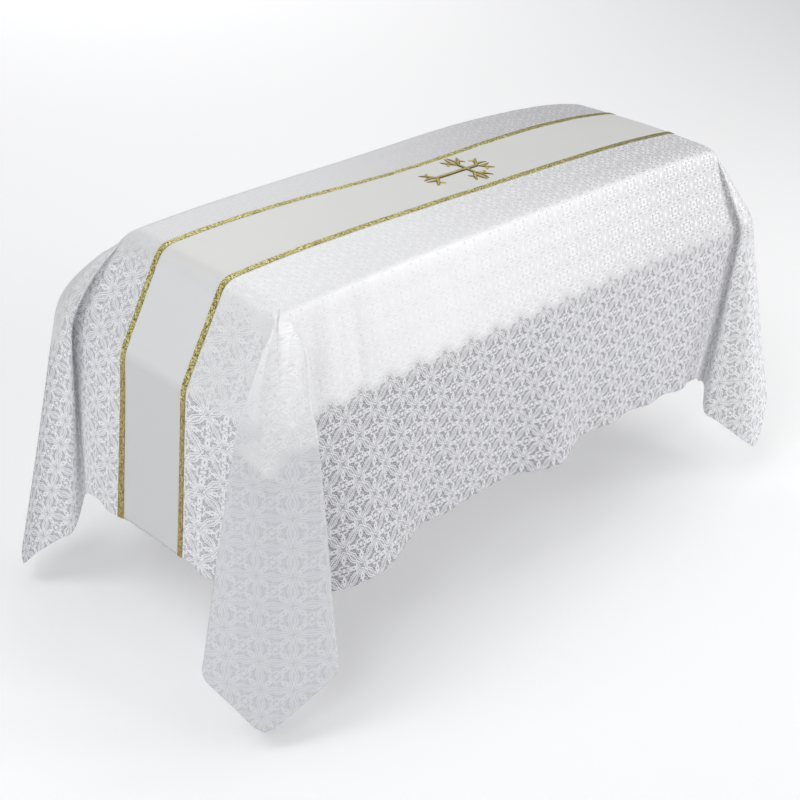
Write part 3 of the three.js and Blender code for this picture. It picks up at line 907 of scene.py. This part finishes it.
# Lengths are in metres of flat cloth, and the pattern's forms in shares of a cell. Pairs are ground
# and figure, or where something starts and how far it runs.
damask = {
    "pitchAlong": 0.100,
    "pitchAcross": 0.114,
    "lineHalf": 0.014,
    "softness": 0.010,
    # The heart and two leaves: each oval's centre and half sizes
    "ovals": ((0, 0, 0.05, 0.06), (0.255, 0, 0.075, 0.032), (0, 0.255, 0.032, 0.075)),
    "ringRadius": 0.128,
    "ringLobes": 8,
    "lobeHeight": 0.016,
    "frameAt": 0.46,
    "frameWave": 0.03,
    "frameGap": 0.062,
    "innerFrame": 0.8,
    "thinFrames": 0.5,
    "broadTracery": (0.0, 14.0, 1.6, 0.055),  # level, scale, twist, half width
    "fineTracery": (4.0, 8.0, 1.0, 0.016),
    "traceryEdge": 0.025,
    "traceryShare": 0.9,
    "grain": 0.3,
    "grainScale": 420.0,
    "threadScale": 900.0,
    "cloudScale": 2.2,
    "tongue": 0.012,
    "hanging": (0.245, 0.035),
    "cornerRun": 0.1,
    "endRun": 0.08,
    "towardsHead": (-0.35, 1.0),
    # Painted light and shade on the top: the far half's ground is darkened by painted shade, and
    # painted shade turns the figure to grey lines towards the head
    "topGround": (0.95, 0.945, 0.95),
    "topFigure": (0.80, 0.80, 0.815),
    "headShadedFigure": (0.34, 0.335, 0.37),
    "farShadedGround": (0.735, 0.73, 0.73),
    # Painted shade in the skirts' ground and painted sheen in their pale figure; the near corner
    # pleats' colours are painted light and shade too, the foot pleat almost plain
    "side": ((0.27, 0.265, 0.29), (0.86, 0.855, 0.88)),
    "end": ((0.47, 0.47, 0.51), (0.97, 0.97, 0.98)),
    "footTail": ((0.66, 0.66, 0.695), (0.81, 0.81, 0.835)),
    "headTail": ((0.47, 0.47, 0.50), (0.99, 0.99, 1.0)),
    "endShares": (0.9, 0.5),  # far side, near side
    "roughness": (0.60, 0.48),
    "metal": (0.10, 0.22),
    "wear": 0.12,
    "relief": (0.2, 0.0006),  # strength and depth
    "sockets": {"Sheen Weight": 0.15, "Sheen Roughness": 0.4},
}


def damaskMask(graph, u, v):
    # Diamond cells in half drop, folded into one quarter so that all of it mirrors. A quarter holds
    # a heart, two leaves, a scalloped ring, and a waved double frame along the cell's edge. Between
    # them runs a tracery that follows where a soft noise passes its middle value: broad in the first
    # mask, for the hanging sides, and fine in the second, for the top and its slopes.
    along = graph.math("PINGPONG", graph.over(u, damask["pitchAlong"]), 0.5)
    across = graph.math("PINGPONG", graph.over(v, damask["pitchAcross"]), 0.5)
    half = graph.times(graph.math("GREATER_THAN", graph.plus(along, across), 0.5), 0.5)
    x, y = graph.size(graph.minus(half, along)), graph.size(graph.minus(half, across))
    width, soft = damask["lineHalf"], damask["softness"]

    def distance(a, b):
        return graph.math("SQRT", graph.plus(graph.times(a, a), graph.times(b, b)))

    def oval(centreX, centreY, halfX, halfY):
        # About the distance from an oval's edge, below nought inside
        wayX = graph.over(graph.minus(x, centreX), halfX)
        wayY = graph.over(graph.minus(y, centreY), halfY)
        return graph.times(graph.minus(distance(wayX, wayY), 1), min(halfX, halfY))

    def tracery(level, scale, twist, halfLine):
        place = graph.add("ShaderNodeCombineXYZ", X=x, Y=y, Z=level).outputs["Vector"]
        fromMiddle = graph.minus(graph.noise(place, scale, 0.0, Distortion=twist), 0.5)
        return graph.times(graph.line(fromMiddle, halfLine, damask["traceryEdge"]), clear)

    lobes = graph.math("COSINE", graph.times(graph.math("ARCTAN2", y, x), damask["ringLobes"]))
    ring = graph.math("MULTIPLY_ADD", lobes, damask["lobeHeight"], damask["ringRadius"])
    scallops = graph.minus(distance(x, y), ring)
    wave = graph.math("COSINE", graph.times(graph.minus(x, y), 4 * math.pi))
    frame = graph.minus(graph.plus(x, y), damask["frameAt"])
    edge = graph.plus(frame, graph.times(wave, damask["frameWave"]))
    heart, *leaves = [oval(*values) for values in damask["ovals"]]
    outlines = [graph.line(shape, width, soft) for shape in (*leaves, scallops, edge)]
    outlines.append(graph.math("SUBTRACT", 0, graph.over(heart, soft), clamp=True))
    inner = graph.plus(edge, damask["frameGap"])
    outlines.append(graph.line(inner, width * damask["innerFrame"], soft))
    nearest = graph.math("MINIMUM", graph.math("MINIMUM", heart, leaves[0]), leaves[1])
    clear = graph.over(nearest, soft, clamp=True)
    frames = graph.most(outlines)
    broad, fine = tracery(*damask["broadTracery"]), tracery(*damask["fineTracery"])
    full = graph.most([graph.times(broad, damask["traceryShare"]), frames])
    return full, graph.most([fine, graph.times(frames, damask["thinFrames"])])


def damaskMaterial():
    # The figure is smoother than the ground. Its colours are painted light and shade by the place on
    # the flat cloth: a pale figure of painted sheen on a ground darkened by painted shade on the
    # hanging sides and pleats, a faint figure in painted light on the top, whose far half painted shade
    # darkens, and soft grey lines of painted shade towards the head. A fine grain crosses figure and
    # ground.
    graph = Graph("damask")
    flatPlace, u, v = graph.flatPlace()
    full, thin = damaskMask(graph, u, v)
    grain = graph.minus(graph.noise(flatPlace, damask["grainScale"], 1.0), 0.5)
    mask = graph.math("ADD", full, graph.times(grain, damask["grain"] * 2), clamp=True)
    pastEnd = graph.minus(graph.size(u), halfLength * mm)
    pastSide = graph.minus(graph.size(v), halfWidth * mm)
    past = graph.math("MAXIMUM", pastEnd, pastSide)
    turns = graph.times(graph.over(u, damask["pitchAlong"]), 2 * math.pi)
    tongue = graph.times(graph.math("COSINE", turns), damask["tongue"])
    # Where the hanging sides' painted shade and sheen take over from the top's colours
    hanging = graph.rise(graph.plus(past, tongue), *damask["hanging"])
    atEnd = graph.rise(pastEnd, pastSide, damask["cornerRun"])
    inCorner = graph.over(graph.math("MINIMUM", pastEnd, pastSide), damask["cornerRun"], clamp=True)
    nearSide = graph.math("LESS_THAN", v, 0)
    atFoot = graph.math("LESS_THAN", u, 0)
    inTail = graph.times(inCorner, nearSide)
    endShare = graph.between(nearSide, *damask["endShares"])
    endSlope = graph.times(graph.over(pastEnd, damask["endRun"], clamp=True), endShare)
    pale = graph.math("MAXIMUM", hanging, graph.times(endSlope, atEnd))
    # Painted shade: a darker ground on the far half of the top, and a figure that greys towards the
    # head
    towardsHead = graph.rise(u, *damask["towardsHead"])
    above = graph.blend(nearSide, damask["farShadedGround"], damask["topGround"])
    aboveFigure = graph.blend(towardsHead, damask["topFigure"], damask["headShadedFigure"])
    # Painted shade in the skirts' ground, painted sheen in their figure, and other painted tones in the
    # near corner pleats
    skirt = [graph.blend(atEnd, a, b) for a, b in zip(damask["side"], damask["end"])]
    tail = [graph.blend(atFoot, a, b) for a, b in zip(damask["headTail"], damask["footTail"])]
    below = [graph.blend(inTail, a, b) for a, b in zip(skirt, tail)]
    colour = graph.blend(pale, graph.blend(thin, above, aboveFigure), graph.blend(mask, *below))
    cloud = graph.noise(graph.objectPlace(), damask["cloudScale"], 2.0, Roughness=0.5)
    smooth = graph.minus(graph.between(mask, *damask["roughness"]), damask["wear"] / 2)
    worn = graph.math("MULTIPLY_ADD", cloud, damask["wear"], smooth)
    metal = graph.between(mask, *damask["metal"])
    weave = graph.noise(flatPlace, damask["threadScale"], 1.0)
    height = graph.math("MULTIPLY_ADD", weave, 0.5, mask)
    return graph.finish(damask, height, colour, Roughness=worn, Metallic=metal)


satin = {
    "topTones": ((0.73, 0.725, 0.71), (0.77, 0.765, 0.75)),
    # Painted light on the slopes and painted shade on the skirts
    "slopeLit": (0.81, 0.815, 0.82),
    "skirtShaded": (0.69, 0.69, 0.70),
    "slopeRun": 0.05,
    "skirt": (0.255, 0.03),
    "cloudScale": 7.0,
    "threadScale": 260.0,
    "relief": (0.08, 0.0004),
    "sockets": {"Roughness": 0.5, "Metallic": 0.1, "Sheen Weight": 0.1},
}


def satinMaterial():
    # Plain satin: a very fine thread across, and a faint cloudiness. Painted light makes it paler on
    # the slopes, and painted shade makes it greyer on the skirts.
    graph = Graph("satin")
    flatPlace, u, _ = graph.flatPlace()
    past = graph.minus(graph.size(u), halfLength * mm)
    slope = graph.over(past, satin["slopeRun"], clamp=True)
    skirt = graph.rise(past, *satin["skirt"])
    onTop = graph.blend(graph.noise(flatPlace, satin["cloudScale"], 3.0), *satin["topTones"])
    hanging = graph.blend(skirt, satin["slopeLit"], satin["skirtShaded"])
    threads = graph.threads(flatPlace, satin["threadScale"], Distortion=1.5, Detail=2.0)
    return graph.finish(satin, threads, graph.blend(slope, onTop, hanging))


braid = {
    "cellScale": 330.0,
    # Dark olive to pale yellow: the threads' own tones, the brightest cells painted glints
    "tones": ((0.09, 0.06, 0.012), (0.52, 0.45, 0.10), (1.0, 0.95, 0.46)),
    # Painted shade: browner on the skirts, darker towards the head
    "brown": (0.24, 0.12, 0.015),
    "brownShare": 0.5,
    "brownRun": 0.04,
    "headShadeTone": (0.10, 0.085, 0.02),
    "towardsHead": (0.1, 1.4),
    "relief": (0.6, 0.0008),
    "sockets": {"Metallic": 0.35, "Roughness": 0.36},
}


def braidMaterial():
    # Metal thread: small cells from olive to yellow gold, partly the threads' own tone and partly
    # painted glints. Painted shade makes it browner on the skirts and darker towards the head.
    graph = Graph("gold_braid")
    flatPlace, u, _ = graph.flatPlace()
    cells = graph.add("ShaderNodeTexVoronoi", Vector=flatPlace, Scale=braid["cellScale"]).outputs
    chance = graph.add("ShaderNodeSeparateXYZ", Vector=cells["Color"]).outputs["X"]
    # Cell colours, the brightest of them painted glints
    tone = graph.add("ShaderNodeValToRGB", Fac=chance)
    tone.color_ramp.elements.new(0.5)
    for element, colour in zip(tone.color_ramp.elements, braid["tones"]):
        element.color = (*colour, 1)
    # Painted shade below the rim and towards the head
    below = graph.rise(graph.size(u), (halfLength + slopeLength) * mm, braid["brownRun"])
    brown = graph.blend(graph.times(below, braid["brownShare"]), tone.outputs["Color"], braid["brown"])
    colour = graph.blend(graph.rise(u, *braid["towardsHead"]), brown, braid["headShadeTone"])
    return graph.finish(braid, cells["Distance"], colour)


thread = {
    "golds": ((0.30, 0.23, 0.04), (0.88, 0.74, 0.22)),
    # Painted shade at the strokes' edges
    "edgeShade": (0.12, 0.075, 0.02),
    "edgeAt": 0.0046,
    "edgePower": 2.5,
    "patchScale": 60.0,
    "stitchScale": 230.0,
    "relief": (0.5, 0.0006),
    "sockets": {"Metallic": 0.45, "Roughness": 0.42},
}


def threadMaterial():
    # Gold satin stitch: fine threads across each stroke, and painted shade that darkens it towards its
    # edges
    graph = Graph("gold_thread")
    flatPlace, _, v = graph.flatPlace()
    # Painted shade that darkens each stroke towards its edges
    edge = graph.over(graph.size(v), thread["edgeAt"], clamp=True)
    shade = graph.math("POWER", edge, thread["edgePower"])
    gold = graph.blend(graph.noise(graph.objectPlace(), thread["patchScale"], 1.0), *thread["golds"])
    stitches = graph.threads(flatPlace, thread["stitchScale"], Distortion=0.6)
    return graph.finish(thread, stitches, graph.blend(shade, gold, thread["edgeShade"]))


finishes = {
    "damask": damaskMaterial(),
    "satin": satinMaterial(),
    "gold_braid": braidMaterial(),
    "gold_thread": threadMaterial(),
}
for piece, node, finish in (
    (clothPiece, "pall_cloth", "damask"),
    (bandPiece, "centre_band", "satin"),
    (braidNear, "braid_near", "gold_braid"),
    (braidFar, "braid_far", "gold_braid"),
    (crossWork, "cross", "gold_thread"),
):
    piece.data.materials.append(finishes[finish])
    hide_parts(node)
    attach(piece, "root")
print("materials:", ", ".join(finishes))

studio = {
    "floorZ": -1.075,
    "floorSize": 60,
    "floorSockets": {
        "Base Color": (0.93, 0.93, 0.935, 1),
        "Roughness": 0.9,
        "Emission Color": (1, 1, 1, 1),
        "Emission Strength": 0.16,
    },
    "skyColour": (0.97, 0.98, 1, 1),
    "sky": 0.29,
}


def floorSheet():
    # A wide square a little under the lowest tail
    half = studio["floorSize"] / 2
    corners = np.array([(-half, -half), (half, -half), (half, half), (-half, half)]) / mm
    level = np.full((4, 1), studio["floorZ"] / mm)
    piece = meshPiece("floor", np.hstack([corners, level]), [(0, 1, 2, 3)], corners)
    piece.data.materials.append(Graph("floor").set(studio["floorSockets"]))
    return piece


def aimed(place, target, roll=0):
    # A turn that looks from a place to a target, level but for a roll, column by column
    away = np.array(place, float) - np.array(target, float)
    back = away / np.linalg.norm(away)
    right = np.cross((0, 0, 1), back) if abs(back[2]) < 0.999 else np.array([1.0, 0, 0])
    right /= np.linalg.norm(right)
    up = np.cross(back, right)
    cosine, sine = math.cos(roll), math.sin(roll)
    columns = np.eye(4)
    columns[:, :3] = [right * cosine + up * sine, up * cosine - right * sine, back, place]
    return columns.tolist()


# Place, target, size in metres, power in watts and colour
lamps = {
    "low": ((3.6, -4.2, 1.5), (0, 0, -0.4), 2.0, 72, (1, 1, 1)),
    "near": ((0.8, -4.6, 2.4), (0, 0, -0.4), 2.0, 26, (1, 1, 1)),
    "top": ((0.3, 0.2, 3.6), (0, 0, 0), 3.4, 32, (1, 0.995, 0.98)),
    "foot": ((-4.2, 1.0, 3.0), (0, 0, -0.4), 2.4, 35, (0.97, 0.98, 1)),
    "corner": ((-4.2, -1.7, 2.7), (-0.6, 0, -0.4), 1.2, 34, (0.98, 0.99, 1)),
    "highFoot": ((-3.3, 0.4, 3.8), (-0.8, 0.1, -0.2), 1.8, 40, (0.98, 0.99, 1)),
    "head": ((4.6, -2.6, 1.7), (0.9, -0.4, -0.4), 1.6, 40, (1, 1, 1)),
    "floor": ((3.4, 6.4, 3.2), (3.4, 6.4, -1), 5.0, 175, (1, 1, 1)),
}
for name, (place, target, size, power, colour) in lamps.items():
    light = bpy.data.lights.new(name, "AREA")
    light.size = size
    light.energy = power
    light.color = colour
    holder = bpy.data.objects.new(name, light)
    holder.matrix_world = aimed(place, target)
    bpy.context.scene.collection.objects.link(holder)

world = bpy.data.worlds.new("studio")
world.use_nodes = True
sky = world.node_tree.nodes["Background"]
sky.inputs["Color"].default_value = studio["skyColour"]
sky.inputs["Strength"].default_value = studio["sky"]
bpy.context.scene.world = world

view = {
    "place": (-3.1705, -2.4051, 1.5848),
    "target": (-0.1933, -0.0677, -0.5889),
    "roll": math.radians(7.7202),
    "lens": 72.14,
    "sensor": 36,
}
camera = bpy.data.cameras.new("camera")
camera.lens = view["lens"]
camera.sensor_width = view["sensor"]
cameraHolder = bpy.data.objects.new("camera", camera)
cameraHolder.matrix_world = aimed(view["place"], view["target"], view["roll"])
bpy.context.scene.collection.objects.link(cameraHolder)
bpy.context.scene.camera = cameraHolder
bpy.context.scene.view_settings.view_transform = "Standard"
floorSheet()
print("studio: floor, lamps and camera")
